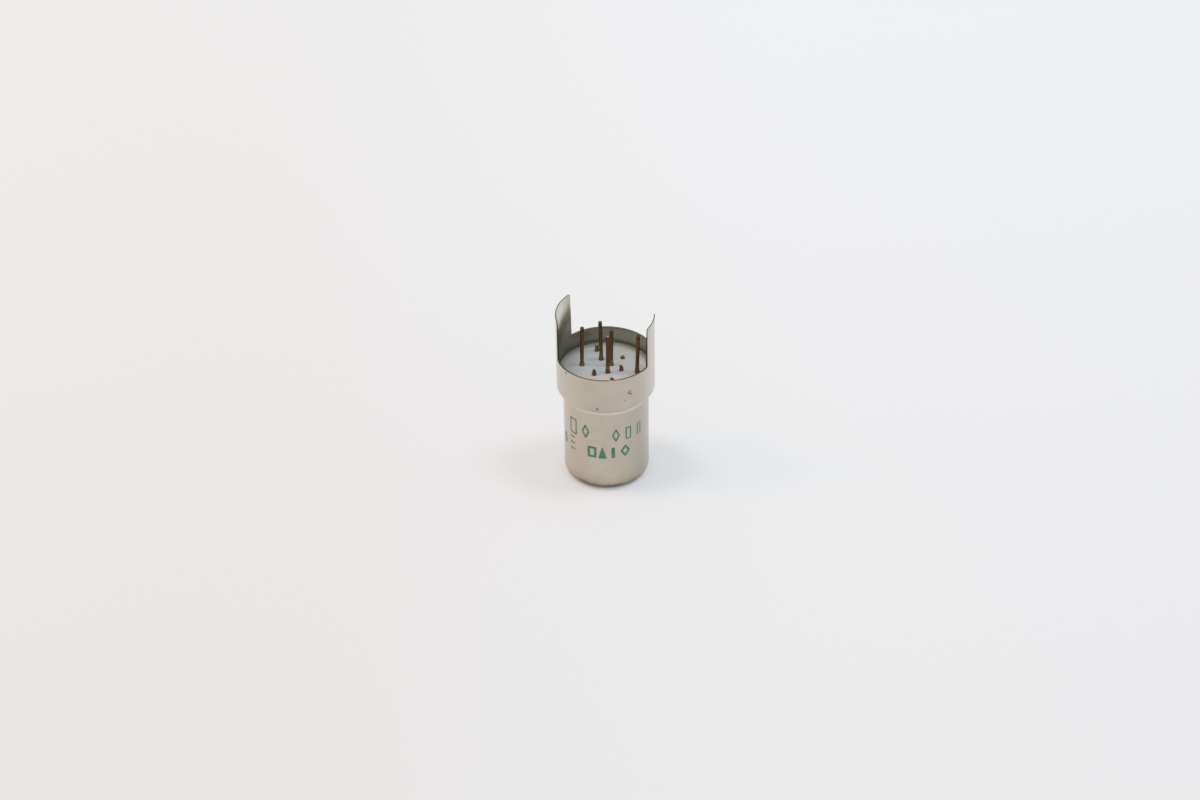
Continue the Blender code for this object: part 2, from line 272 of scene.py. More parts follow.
# The wafer's back and left tones, and its rim stain, carry painted shade from the skirt's walls
CERAMIC_BACK_SHADE = (0.34, 0.345, 0.335)
CERAMIC_LEFT_SHADE = (0.475, 0.460, 0.430)
CERAMIC_PITS = (0.25, 0.25, 0.24)
CERAMIC_STAIN_AND_SHADE = (0.185, 0.202, 0.178)
STAIN_AND_SHADE_RADII = (4.50, 5.45)
# The seal's left and right tones differ as painted light, against the lamps' orange reflection
SEAL_LEFT = (0.165, 0.168, 0.128)
SEAL_RIGHT = (0.165, 0.186, 0.134)
THIN_SEAL_LEFT = (0.200, 0.215, 0.150)
THIN_SEAL_RIGHT = (0.200, 0.240, 0.160)
SEAL_EDGE_RADII = (5.26, 5.17)
LEAD_DARK = (0.138, 0.096, 0.047)
LEAD_LIGHT = (0.215, 0.134, 0.066)
LEAD_PATCHES = (0.265, 0.146, 0.064)
LEAD_WARM = (0.23, 0.145, 0.065)
LEAD_FOOT = (0.165, 0.130, 0.062)
LEAD_TIP = (0.060, 0.056, 0.028)
DARK_CUT_TONES = (0.050, 0.045, 0.026), (0.090, 0.078, 0.045)
# Pale cut ends, among them the painted glint on heater_pin_2
PALE_AND_GLINT_CUT_TONES = (0.16, 0.13, 0.08), (0.42, 0.39, 0.31)
COPPER_BRIGHT = (0.36, 0.205, 0.082)
COPPER_DULL = (0.17, 0.125, 0.060)
COPPER_FOOT = (0.10, 0.085, 0.065)
DENSE_INK = (0.045, 0.215, 0.115)
THIN_INK = (0.13, 0.31, 0.20)
DARK_SPECK = (0.17, 0.125, 0.080)
LIGHT_SPECK = (0.30, 0.24, 0.165)
METAL = 1.0
NOISE_SPREAD = (0.3, 0.7)  # nearly all values of a noise texture lie between these

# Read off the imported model, or worked out from it
SHELL_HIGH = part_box("metal_shell")[1]
WAFER_FACE_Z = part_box("ceramic_wafer")[1].z
SKIRT_RADIUS = SHELL_HIGH.x
SKIRT_BORE = SKIRT_RADIUS - SKIRT_WALL
SHOULDER_Z = RIM_HEIGHT - SKIRT_LENGTH
LEDGE_Z = SHOULDER_Z + SKIRT_WALL
LUG_TOP_Z = SHELL_HIGH.z
SHOULDER_SLOPE = acos(1 - (SKIRT_RADIUS - CAN_RADIUS) / (NECK_FILLET + SHOULDER_EDGE))
EDGE_Z = SHOULDER_Z + SHOULDER_EDGE
NECK_Z = EDGE_Z - (NECK_FILLET + SHOULDER_EDGE) * sin(SHOULDER_SLOPE)


def add_object(name, data):
    obj = bpy.data.objects.new(name, data)
    bpy.context.scene.collection.objects.link(obj)
    return obj


def add_camera():
    """The photograph's view: pitched down, turned round the tube and rolled a little."""
    forward = Vector((0, cos(VIEW_PITCH), -sin(VIEW_PITCH)))
    level = Vector((1, 0, 0))
    upright = level.cross(forward)
    right = level * cos(VIEW_ROLL) - upright * sin(VIEW_ROLL)
    up = level * sin(VIEW_ROLL) + upright * cos(VIEW_ROLL)
    offset = right * VIEW_OFFSET_RIGHT + up * VIEW_OFFSET_UP
    place = Vector((0, 0, VIEW_AIM)) - offset - forward * VIEW_DISTANCE
    facing = Matrix((right, up, -forward)).transposed().to_4x4()
    camera = add_object("camera", bpy.data.cameras.new("camera"))
    camera.matrix_world = Matrix.Rotation(VIEW_TURN, 4, "Z") @ Matrix.Translation(place) @ facing
    camera.data.lens = LENS
    camera.data.sensor_width = SENSOR_WIDTH
    camera.data.clip_start = CLIP_START
    bpy.context.scene.camera = camera


def add_lamp(name, bearing, elevation, power, colour):
    """A soft square lamp aimed at the tube's foot."""
    turn = VIEW_TURN + bearing
    towards = Vector((cos(turn) * cos(elevation), sin(turn) * cos(elevation), sin(elevation)))
    lamp = bpy.data.lights.new(name, "AREA")
    lamp.energy = power
    lamp.color = colour
    lamp.size = LAMP_SIZE
    obj = add_object(name, lamp)
    obj.location = towards * LAMP_DISTANCE
    obj.rotation_mode = "QUATERNION"
    obj.rotation_quaternion = towards.to_track_quat("Z", "Y")


def add_node(tree, kind, inputs=(), **settings):
    """A node with its settings. Each input is (name or number, value or socket)."""
    node = tree.nodes.new(kind)
    for name, value in settings.items():
        setattr(node, name, value)
    for name, value in inputs:
        if isinstance(value, bpy.types.NodeSocket):
            tree.links.new(value, node.inputs[name])
        else:
            node.inputs[name].default_value = value
    return node


def add_world():
    """Even light from all round. The camera and reflections see a pale studio in its place."""
    world = bpy.data.worlds.new("studio")
    bpy.context.scene.world = world
    world.use_nodes = True
    tree = world.node_tree
    tree.nodes.clear()
    colour = mix_colours(tree, is_seen(tree), AMBIENT_COLOUR, BACKGROUND_COLOUR)
    background = add_node(tree, "ShaderNodeBackground", [("Color", colour), ("Strength", 1.0)])
    add_node(tree, "ShaderNodeOutputWorld", [("Surface", background.outputs[0])])


def is_seen(tree):
    """1 for a ray from the camera or a reflection, 0 for one that carries light to a matt surface."""
    path = add_node(tree, "ShaderNodeLightPath").outputs
    seen = calculate(tree, "MAXIMUM", path["Is Camera Ray"], path["Is Glossy Ray"])
    return calculate(tree, "MAXIMUM", seen, path["Is Transmission Ray"])


def calculate(tree, operation, first, second=0.0, third=0.0):
    inputs = [(0, first), (1, second), (2, third)]
    return add_node(tree, "ShaderNodeMath", inputs, operation=operation).outputs[0]


def multiply(tree, first, second):
    return calculate(tree, "MULTIPLY", first, second)


def mix_colours(tree, share, first, second, most=1):
    """The first colour changed towards the second, by the share times the most that it may be.

    Sockets 6 and 7 of a Mix node are its two colours, and output 2 is the mixed one.
    """
    if most != 1:
        share = multiply(tree, share, most)
    ends = [(0, share)]
    for number, colour in ((6, first), (7, second)):
        ends.append((number, colour if isinstance(colour, bpy.types.NodeSocket) else (*colour, 1)))
    return add_node(tree, "ShaderNodeMix", ends, data_type="RGBA").outputs[2]


def rescale(tree, value, source, target=(0.0, 1.0)):
    """The value carried from one range to another, held at the ends and eased between them."""
    inputs = list(enumerate((value, *source, *target)))
    node = add_node(tree, "ShaderNodeMapRange", inputs, interpolation_type="SMOOTHSTEP")
    return node.outputs[0]


def add_noise(tree, place, scale, detail=2.0, roughness=0.5):
    inputs = [("Vector", place), ("Scale", scale), ("Detail", detail), ("Roughness", roughness)]
    return add_node(tree, "ShaderNodeTexNoise", inputs).outputs[0]


def scale_vector(tree, vector, factors):
    node = add_node(tree, "ShaderNodeVectorMath", [(0, vector), (1, factors)], operation="MULTIPLY")
    return node.outputs[0]


def measure_along(tree, place, bearing):
    """How far a place lies in a level direction, which is given by its angle from +X."""
    inputs = [(0, place), (1, (cos(bearing), sin(bearing), 0))]
    return add_node(tree, "ShaderNodeVectorMath", inputs, operation="DOT_PRODUCT").outputs["Value"]


def add_bump(tree, height, distance, strength=1.0, below=None):
    inputs = [("Height", height), ("Distance", distance), ("Strength", strength)]
    if below is not None:
        inputs.append(("Normal", below))
    return add_node(tree, "ShaderNodeBump", inputs).outputs[0]


def start_material(name):
    """A material, its node tree and its shader, with the place, radius and height in millimetres."""
    material = bpy.data.materials.new(name)
    material.use_nodes = True
    tree = material.node_tree
    shader = tree.nodes["Principled BSDF"]
    place = add_node(tree, "ShaderNodeTexCoord").outputs["Object"]
    place = scale_vector(tree, place, (1 / MM, 1 / MM, 1 / MM))
    level = scale_vector(tree, place, (1, 1, 0))
    across = add_node(tree, "ShaderNodeVectorMath", [(0, level)], operation="LENGTH")
    height = add_node(tree, "ShaderNodeSeparateXYZ", [(0, place)]).outputs["Z"]
    return material, tree, shader, place, across.outputs["Value"], height


def finish_shader(tree, shader, colour, roughness, normal=None, metallic=0.0):
    shader.inputs["Metallic"].default_value = metallic
    tree.links.new(colour, shader.inputs["Base Color"])
    tree.links.new(roughness, shader.inputs["Roughness"])
    if normal is not None:
        tree.links.new(normal, shader.inputs["Normal"])


def make_nickel():
    """Drawn nickel-plated steel: satin, faint draw lines, browned inside and at its foot; painted light
    and shade.
    """
    material, tree, shader, place, across, height = start_material("drawn_nickel")
    lines = scale_vector(tree, place, (1, 1, 0.05))
    lines = add_noise(tree, lines, scale=7.0, detail=3.0, roughness=0.6)
    clouds = add_noise(tree, place, scale=0.45, detail=3.0, roughness=0.55)
    grain = add_noise(tree, place, scale=16.0, roughness=0.6)
    wall = (SKIRT_BORE + SKIRT_WALL / 2) / MM
    inside = rescale(tree, across, (wall + 0.02, wall - 0.06))
    inside = multiply(tree, inside, rescale(tree, height, (SHOULDER_Z / MM, LEDGE_Z / MM)))

    tone = calculate(tree, "MULTIPLY_ADD", lines, 0.35, multiply(tree, clouds, 0.65))
    colour = mix_colours(tree, rescale(tree, tone, (0.33, 0.67)), NICKEL_DARK, NICKEL_LIGHT)

    # Painted reflections: the can is warmer on the left and darker on the right, as the floor and its
    # shadow would mirror in it. Above it the outside pales to both sides as a painted highlight at its
    # edges.
    sideways = measure_along(tree, place, VIEW_TURN)
    can = rescale(tree, height, CAN_HEIGHTS)
    for ways, tint in ((WARM_REFLECTION_LEFT, NICKEL_WARM_REFLECTION), (SHADOW_REFLECTION_RIGHT, NICKEL_SHADOW_REFLECTION)):
        share = multiply(tree, can, rescale(tree, sideways, ways))
        colour = mix_colours(tree, share, colour, tint, most=0.8)
    for ways, tint, most in ((HIGHLIGHT_RIGHT, NICKEL_PALE_HIGHLIGHT, 0.7), (HIGHLIGHT_LEFT, NICKEL_LEFT_HIGHLIGHT, 0.8)):
        share = calculate(tree, "SUBTRACT", rescale(tree, sideways, ways), can)
        share = calculate(tree, "SUBTRACT", share, inside)
        colour = mix_colours(tree, rescale(tree, share, (0, 1), (0, most)), colour, tint)

    # Brown tarnish creeps up from the closed end's edge, deepened at the foot as painted contact shade.
    creep = calculate(tree, "MULTIPLY_ADD", clouds, 0.9, height)
    colour = mix_colours(tree, rescale(tree, creep, TARNISH_HEIGHTS, (0, 0.50)), colour, TARNISH)
    foot = rescale(tree, creep, FOOT_TARNISH_AND_SHADE_HEIGHTS)
    colour = mix_colours(tree, foot, colour, FOOT_TARNISH_AND_SHADE, most=0.95)

    # Just below the shoulder the can is painted pale as a highlight, and the shoulder's underside is
    # painted dark as shade.
    neck_highlight = rescale(tree, height, NECK_HIGHLIGHT_HEIGHTS)
    neck_highlight = multiply(tree, neck_highlight, rescale(tree, across, NECK_HIGHLIGHT_RADII))
    colour = mix_colours(tree, neck_highlight, colour, NECK_HIGHLIGHT, most=0.8)
    under_shade = rescale(tree, across, UNDERSIDE_SHADE_INNER)
    under_shade = multiply(tree, under_shade, rescale(tree, across, UNDERSIDE_SHADE_OUTER))
    under_shade = multiply(tree, under_shade, rescale(tree, height, UNDERSIDE_SHADE_HEIGHTS))
    colour = mix_colours(tree, under_shade, colour, UNDERSIDE_SHADE, most=0.75)

    # Inside, the lugs are painted bright towards their tops as a highlight, and the skirt is browned by
    # the brazing and painted darker low down and to the left as shade.
    lug_highlight = multiply(tree, inside, rescale(tree, height, LUG_HIGHLIGHT_HEIGHTS))
    colour = mix_colours(tree, lug_highlight, colour, LUG_INSIDE_HIGHLIGHT, most=0.9)
    brown_and_shade = mix_colours(tree, rescale(tree, sideways, BROWN_AND_SHADE_WAYS), BROWN_AND_SHADE_LEFT, BROWN_AND_SHADE_RIGHT)
    heat_and_shade = multiply(tree, inside, rescale(tree, height, BROWN_AND_SHADE_HEIGHTS))
    colour = mix_colours(tree, heat_and_shade, colour, brown_and_shade, most=0.94)

    roughness = rescale(tree, lines, NOISE_SPREAD, (0.35, 0.42))
    roughness = calculate(tree, "SUBTRACT", roughness, multiply(tree, inside, 0.08))
    roughness = calculate(tree, "ADD", roughness, multiply(tree, foot, 0.10))
    normal = add_bump(tree, lines, 0.004 * MM, rescale(tree, inside, (0, 1), (0.4, 0.12)))
    normal = add_bump(tree, grain, 0.0012 * MM, 0.6, below=normal)
    shader.inputs["Coat Weight"].default_value = 0.6
    shader.inputs["Coat Roughness"].default_value = 0.2
    finish_shader(tree, shader, colour, roughness, normal, METAL)
    return material


def make_cut_edge():
    """The sheet's cut edge: dark oxide, shaded at the front and lit olive at the back, with a bright
    burr and a rubbed spot.
    """
    material, tree, shader, place, across, height = start_material("cut_edge")
    rubbed = add_noise(tree, place, scale=2.2, detail=3.0, roughness=0.7)
    rubbed = rescale(tree, rubbed, (0.55, 0.72), (0, 0.7))
    burr = add_noise(tree, place, scale=18.0, roughness=0.6)
    back = rescale(tree, measure_along(tree, place, pi / 2), (0, 4))
    # Painted light and shade: the cut edge is darker at the front and lighter olive at the back.
    colour = mix_colours(tree, back, CUT_FRONT_SHADED, CUT_BACK_LIT)
    colour = mix_colours(tree, rubbed, colour, CUT_RUBBED)
    outer = SKIRT_RADIUS / MM
    rim = RIM_HEIGHT / MM
    bright = rescale(tree, across, (outer - 0.055, outer - 0.025), (0, 0.9))
    bright = multiply(tree, bright, rescale(tree, back, (1, 0)))
    bright = multiply(tree, bright, rescale(tree, height, (rim + 0.3, rim)))
    colour = mix_colours(tree, bright, colour, CUT_BURR)
    inputs = [(0, place), (1, tuple(v / MM for v in RUBBED_SPOT))]
    gap = add_node(tree, "ShaderNodeVectorMath", inputs, operation="DISTANCE").outputs["Value"]
    colour = mix_colours(tree, rescale(tree, gap, (0.26, 0.12)), colour, RUBBED_SPOT_COLOUR)
    roughness = rescale(tree, burr, NOISE_SPREAD, (0.40, 0.60))
    finish_shader(tree, shader, colour, roughness, add_bump(tree, burr, 0.004 * MM), METAL)
    return material


def make_ceramic():
    """Fired alumina: cool grey-white and matt, painted darker at the back and warmer on the left as
    shade, stained and shaded round the rim.
    """
    material, tree, shader, place, across, _ = start_material("fired_ceramic")
    grain = add_noise(tree, place, scale=11.0, detail=4.0, roughness=0.65)
    clouds = add_noise(tree, place, scale=0.9, detail=3.0, roughness=0.6)
    pits = rescale(tree, add_noise(tree, place, scale=26.0, detail=1.0), (0.30, 0.22))
    tone = rescale(tree, calculate(tree, "ADD", grain, clouds), (0.75, 1.25))
    colour = mix_colours(tree, tone, CERAMIC_DARK, CERAMIC_LIGHT)
    # Painted shade: darker at the back, and darker and warmer on the left, where the skirt's walls
    # shade the wafer.
    back = rescale(tree, measure_along(tree, place, pi / 2), (-2.5, 5.0))
    colour = mix_colours(tree, back, colour, CERAMIC_BACK_SHADE, most=0.35)
    left = rescale(tree, measure_along(tree, place, VIEW_TURN), (0.5, -3.5), (0, 0.6))
    colour = mix_colours(tree, left, colour, CERAMIC_LEFT_SHADE)
    colour = mix_colours(tree, pits, colour, CERAMIC_PITS, most=0.5)
    # The rim's stain is deepened as painted shade where the wall meets the wafer, more at the back.
    reach = calculate(tree, "MULTIPLY_ADD", clouds, 0.4, across)
    reach = calculate(tree, "MULTIPLY_ADD", back, 0.3, reach)
    stain = rescale(tree, reach, STAIN_AND_SHADE_RADII)
    colour = mix_colours(tree, stain, colour, CERAMIC_STAIN_AND_SHADE, most=0.85)
    roughness = rescale(tree, grain, NOISE_SPREAD, (0.48, 0.62))
    finish_shader(tree, shader, colour, roughness, add_bump(tree, grain, 0.006 * MM, 0.7))
    return material


def make_seal_metal():
    """The braze that seals the wafer: dark olive and lumpy, lighter where it thins out."""
    material, tree, shader, place, across, _ = start_material("seal_braze")
    lumps = add_noise(tree, place, scale=3.2, detail=3.0, roughness=0.6)
    reach = calculate(tree, "ADD", across, multiply(tree, lumps, 0.16))
    edge = rescale(tree, reach, SEAL_EDGE_RADII)
    # Painted light: greener to the right, to offset the orange the lamps reflect there.
    side = rescale(tree, measure_along(tree, place, VIEW_TURN), (-4.5, 1.0))
    thick = mix_colours(tree, side, SEAL_LEFT, SEAL_RIGHT)
    thin = mix_colours(tree, side, THIN_SEAL_LEFT, THIN_SEAL_RIGHT)
    colour = mix_colours(tree, edge, thick, thin)
    roughness = rescale(tree, lumps, (0.35, 0.65), (0.48, 0.62))
    finish_shader(tree, shader, colour, roughness, add_bump(tree, lumps, 0.008 * MM, 0.8), METAL)
    return material


def make_lead_metal():
    """Oxidised leads: bronze-brown with fine draw lines, duller at the foot and darkest at the tip."""
    material, tree, shader, place, _, height = start_material("oxidised_lead")
    face = WAFER_FACE_Z / MM
    lines = scale_vector(tree, place, (1, 1, 0.12))
    lines = add_noise(tree, lines, scale=12.0, detail=3.0, roughness=0.6)
    patches = scale_vector(tree, place, (1, 1, 0.4))
    patches = add_noise(tree, patches, scale=2.4, detail=3.0, roughness=0.6)
    colour = mix_colours(tree, rescale(tree, lines, (0.35, 0.65)), LEAD_DARK, LEAD_LIGHT)
    colour = mix_colours(tree, rescale(tree, patches, (0.5, 0.68), (0, 0.7)), colour, LEAD_PATCHES)
    warm = rescale(tree, height, (face + 2.0, face), (0, 0.7))
    colour = mix_colours(tree, warm, colour, LEAD_WARM)
    low = rescale(tree, height, (face + 0.90, face + 0.80), (0, 0.85))
    colour = mix_colours(tree, low, colour, LEAD_FOOT)
    tip = rescale(tree, height, (face + 4.15, face + 4.55), (0, 0.7))
    colour = mix_colours(tree, tip, colour, LEAD_TIP)
    roughness = rescale(tree, patches, NOISE_SPREAD, (0.36, 0.52))
    finish_shader(tree, shader, colour, roughness, add_bump(tree, lines, 0.004 * MM, 0.8), METAL)
    return material


def make_cut_lead(name, stained, clean):
    """A lead's cut end: bare metal, dulled and stained in places."""
    material, tree, shader, place, _, _ = start_material(name)
    stain = add_noise(tree, place, scale=3.0, detail=3.0, roughness=0.7)
    scratches = add_noise(tree, scale_vector(tree, place, (1, 0.15, 1)), scale=22.0)
    colour = mix_colours(tree, rescale(tree, stain, (0.42, 0.60)), stained, clean)
    roughness = rescale(tree, scratches, NOISE_SPREAD, (0.35, 0.50))
    finish_shader(tree, shader, colour, roughness, add_bump(tree, scratches, 0.004 * MM), METAL)
    return material


def make_copper():
    """Copper braze at the feet of the leads: orange-brown with darker, duller patches."""
    material, tree, shader, place, _, height = start_material("copper_braze")
    face = WAFER_FACE_Z / MM
    patches = add_noise(tree, place, scale=3.5, detail=3.0, roughness=0.65)
    grain = add_noise(tree, place, scale=14.0)
    colour = mix_colours(tree, rescale(tree, patches, (0.38, 0.62)), COPPER_BRIGHT, COPPER_DULL)
    low = rescale(tree, height, (face + 0.12, face), (0, 0.6))
    colour = mix_colours(tree, low, colour, COPPER_FOOT)
    roughness = rescale(tree, patches, NOISE_SPREAD, (0.34, 0.52))
    finish_shader(tree, shader, colour, roughness, add_bump(tree, grain, 0.006 * MM, 0.7), METAL)
    return material


def make_ink():
    """Green stamping ink: dense in places, thin where the stamp pressed lightly."""
    material, tree, shader, place, _, _ = start_material("green_ink")
    coverage = add_noise(tree, place, scale=2.6, detail=4.0, roughness=0.7)
    grain = add_noise(tree, place, scale=15.0)
    colour = mix_colours(tree, rescale(tree, coverage, (0.42, 0.68)), DENSE_INK, THIN_INK)
    roughness = rescale(tree, grain, NOISE_SPREAD, (0.50, 0.68))
    finish_shader(tree, shader, colour, roughness, add_bump(tree, grain, 0.003 * MM, 0.7))
    return material


def make_rust():
    """Specks of dull brown corrosion and dirt."""
    material, tree, shader, place, _, _ = start_material("brown_specks")
    grain = add_noise(tree, place, scale=12.0, detail=3.0, roughness=0.7)
    colour = mix_colours(tree, rescale(tree, grain, (0.35, 0.65)), DARK_SPECK, LIGHT_SPECK)
    roughness = rescale(tree, grain, NOISE_SPREAD, (0.65, 0.85))
    finish_shader(tree, shader, colour, roughness, add_bump(tree, grain, 0.01 * MM))
    return material


def make_floor_paper():
    """Plain pale paper with a faint tooth, painted lighter far off and darker to the left as light and
    shade. Part of its shade glows, so that the shadow stays light.
    """
    material, tree, shader, place, across, _ = start_material("floor_paper")
    tooth = add_noise(tree, place, scale=0.8, detail=3.0)
    # Painted light and shade: the floor is lighter far off, and darker and warmer to the left.
    away = measure_along(tree, place, VIEW_TURN + pi / 2)
    away = rescale(tree, away, (NEAR_FLOOR, FAR_FLOOR))
    colour = mix_colours(tree, away, NEAR_FLOOR_COLOUR, FAR_FLOOR_PAINTED_LIGHT)
    sideways = rescale(tree, measure_along(tree, place, VIEW_TURN), (LEFT_FLOOR, RIGHT_FLOOR))
    colour = scale_vector(tree, colour, mix_colours(tree, sideways, LEFT_PAINTED_SHADE, RIGHT_PAINTED_LIGHT))
    colour = mix_colours(tree, tooth, colour, TOOTH_COLOUR, most=0.02)
    shader.inputs["Specular IOR Level"].default_value = 0.1
    finish_shader(tree, shader, colour, rescale(tree, tooth, NOISE_SPREAD, (0.85, 0.95)))
    glow = add_node(tree, "ShaderNodeEmission", [("Color", colour)])
    clear = rescale(tree, across, GLOW_RADII, (0, FLOOR_GLOW))
    share = multiply(tree, is_seen(tree), clear)
    ends = [(0, share), (1, shader.outputs[0]), (2, glow.outputs[0])]
    blend = add_node(tree, "ShaderNodeMixShader", ends)
    tree.links.new(blend.outputs[0], tree.nodes["Material Output"].inputs["Surface"])
    return material


def add_floor():
    bm = bmesh.new()
    bmesh.ops.create_grid(bm, x_segments=1, y_segments=1, size=FLOOR_SIZE / 2)
    mesh = bpy.data.meshes.new("floor")
    bm.to_mesh(mesh)
    bm.free()
    mesh.materials.append(make_floor_paper())
    floor = add_object("floor", mesh)


def add_piece(name, bm, materials, replaced=(), sharp_angle=SHARP_ANGLE):
    """Makes the object, shades it smooth and lets it ride on the tube's one body."""
    bmesh.ops.recalc_face_normals(bm, faces=bm.faces)
    mesh = bpy.data.meshes.new(name)
    bm.to_mesh(mesh)
    bm.free()
    mesh.shade_smooth()
    mesh.set_sharp_from_angle(angle=sharp_angle)
    for material in materials:
        mesh.materials.append(material)
    obj = add_object(name, mesh)
    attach(obj, "root")
    if replaced:
        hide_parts(*replaced)


def arc(centre, radius, start, end, steps=ARC_STEPS):
    """Points (r, z) along an arc of a profile, without its first point."""
    angles = [start + (end - start) * (i + 1) / steps for i in range(steps)]
    return [(centre[0] + radius * cos(a), centre[1] + radius * sin(a)) for a in angles]


def rows_between(low, high):
    """Heights from just above low to high, a row's step apart."""
    count = max(1, ceil((high - low) / ROW_STEP))
    return [low + (high - low) * (i + 1) / count for i in range(count)]


def wobble(angle, z, seed):
    """Smooth unevenness round the tube, from -1 to 1, which joins up after a full turn."""
    place = (WAVES_ROUND * cos(angle), WAVES_ROUND * sin(angle), z / WAVE_HEIGHT + seed)
    return noise.noise(Vector(place))


def shell_point(angle, r, z):
    """A point of the shell, with the dents and waves of the real drawn sheet put in."""
    shoulder = exp(-(((z - SHOULDER_Z - SHOULDER_WAVE_RISE) / SHOULDER_WAVE_SPREAD) ** 2))
    side = (r / CAN_RADIUS - FLAT_SHARE) / (1 - FLAT_SHARE)
    side = min(1.0, max(0.0, side))
    z += SHOULDER_WAVE * shoulder * side * shoulder_wave(angle)
    r += WALL_WAVE * side * min(1.0, z / WALL_WAVE_START) * wobble(angle, z, seed=3.1)
    return Vector((r * cos(angle), r * sin(angle), z))


def shoulder_wave(angle):
    """How far the shoulder rises or dips round the tube, from about -1.5 to 1.5, with its kink."""
    step = (angle - KINK_PLACE + pi) % (2 * pi) - pi
    kink = KINK_SLOPE * step * exp(-((step / KINK_WIDTH) ** 2))
    return 1.6 * wobble(angle, 0, seed=7.7) + kink


def outside_profile():
    """The section's outside (r, z), from near the closed end's centre up to the rim."""
    flat = CAN_RADIUS - CAN_CORNER
    points = [(flat * (i + 1) / FLAT_STEPS, 0) for i in range(FLAT_STEPS)]
    points += arc((flat, CAN_CORNER), CAN_CORNER, -pi / 2, 0)
    points += [(CAN_RADIUS, z) for z in rows_between(CAN_CORNER, NECK_Z)]
    points += arc((CAN_RADIUS + NECK_FILLET, NECK_Z), NECK_FILLET, pi, pi - SHOULDER_SLOPE)
    points += arc((SKIRT_RADIUS - SHOULDER_EDGE, EDGE_Z), SHOULDER_EDGE, -SHOULDER_SLOPE, 0)
    points += [(SKIRT_RADIUS, z) for z in rows_between(EDGE_Z, RIM_HEIGHT)]
    return points


def inside_profile():
    """The section's inside (r, z), from the rim down to the ledge under the wafer."""
    corner_z = LEDGE_Z + LEDGE_CORNER
    points = [(SKIRT_BORE, z) for z in reversed([corner_z] + rows_between(corner_z, RIM_HEIGHT))]
    points += arc((SKIRT_BORE - LEDGE_CORNER, corner_z), LEDGE_CORNER, 0, -pi / 2)
    points.append((SKIRT_BORE / 2, LEDGE_Z))
    return points


def even_steps(start, end, step):
    """Values from start to just before end, about a step apart."""
    count = max(1, round((end - start) / step))
    return [start + (end - start) * i / count for i in range(count)]


def lug_root_angle(half_angle):
    """Half of the angle that a lug takes on the rim, with the fillets on its two sides."""
    return half_angle + LUG_ROOT / SKIRT_RADIUS


def shell_angles():
    """Angles round the shell from the narrow lug on, with one at each foot of each lug."""
    narrow = lug_root_angle(NARROW_LUG_HALF_ANGLE)
    wide = lug_root_angle(WIDE_LUG_HALF_ANGLE)
    edges = (-narrow, narrow, pi - wide, pi + wide, 2 * pi - narrow)
    angles = []
    for start, end in zip(edges, edges[1:]):
        angles += even_steps(start, end, SHELL_STEP)
    return angles


def lug_top(half_angle, share):
    """Height of a lug's top at a share across it, from -1 to 1. The wide one is cut askew."""
    if half_angle == WIDE_LUG_HALF_ANGLE:
        return LUG_TOP_Z + WIDE_LUG_TALL - WIDE_LUG_SLANT * share
    return LUG_TOP_Z - NARROW_LUG_SHORT


def lug_half_angle(half_angle, above, length):
    """Half of a lug's angle at a height above the rim: filleted at its root, rounded at its corners."""
    if above < LUG_ROOT:
        widen = LUG_ROOT - sqrt(max(0.0, LUG_ROOT**2 - (LUG_ROOT - above) ** 2))
        return half_angle + widen / SKIRT_RADIUS
    below = length - above
    if below < LUG_CORNER:
        narrow = LUG_CORNER - sqrt(max(0.0, LUG_CORNER**2 - (LUG_CORNER - below) ** 2))
        return half_angle - narrow / SKIRT_RADIUS
    return half_angle


def lug_levels(length):
    """Heights above the rim of a lug's rows of points, closer together at its fillets and corners."""
    turns = [pi / 2 * (i + 1) / LUG_ROOT_STEPS for i in range(LUG_ROOT_STEPS)]
    root = [LUG_ROOT * (1 - cos(turn)) for turn in turns]
    straight = rows_between(LUG_ROOT, length - LUG_CORNER)
    turns = [pi / 2 * (i + 1) / LUG_CORNER_STEPS for i in range(LUG_CORNER_STEPS)]
    corner = [length - LUG_CORNER * (1 - sin(turn)) for turn in turns]
    return root + straight + corner


def raise_lug(bm, rim_outer, rim_inner, indexes, middle, half_angle):
    """Builds one lug on the rim between the given columns, out of its two faces and its cut edges."""
    length = LUG_TOP_Z - RIM_HEIGHT
    rows = [([rim_outer[i] for i in indexes], [rim_inner[i] for i in indexes])]
    shares = [2 * i / (len(indexes) - 1) - 1 for i in range(len(indexes))]
    for level in lug_levels(length):
        half = lug_half_angle(half_angle, level, length)
        thinning = LUG_THINNING * (level / length) ** LUG_THINNING_CURVE
        outer, inner = [], []
        for share in shares:
            top = lug_top(half_angle, share) - RIM_HEIGHT
            z = RIM_HEIGHT + level * top / length
            angle = middle + half * share
            outer.append(bm.verts.new(shell_point(angle, SKIRT_RADIUS, z)))
            inner.append(bm.verts.new(shell_point(angle, SKIRT_BORE + thinning, z)))
        rows.append((outer, inner))
    for (low_outer, low_inner), (high_outer, high_inner) in zip(rows, rows[1:]):
        for i in range(len(indexes) - 1):
            bm.faces.new((low_outer[i], low_outer[i + 1], high_outer[i + 1], high_outer[i]))
            bm.faces.new((low_inner[i + 1], low_inner[i], high_inner[i], high_inner[i + 1]))
        for i in (0, -1):
            cut = bm.faces.new((low_outer[i], high_outer[i], high_inner[i], low_inner[i]))
            cut.material_index = 1
    outer, inner = rows[-1]
    for i in range(len(indexes) - 1):
        bm.faces.new((outer[i], outer[i + 1], inner[i + 1], inner[i])).material_index = 1


def is_cut_corner(edge):
    """Whether an edge of the shell is a sharp one at the rim or on a lug."""
    middle = (edge.verts[0].co + edge.verts[1].co) / 2
    if middle.z < RIM_HEIGHT - ROW_STEP or len(edge.link_faces) != 2:
        return False
    return edge.calc_face_angle(0) > SHARP_ANGLE


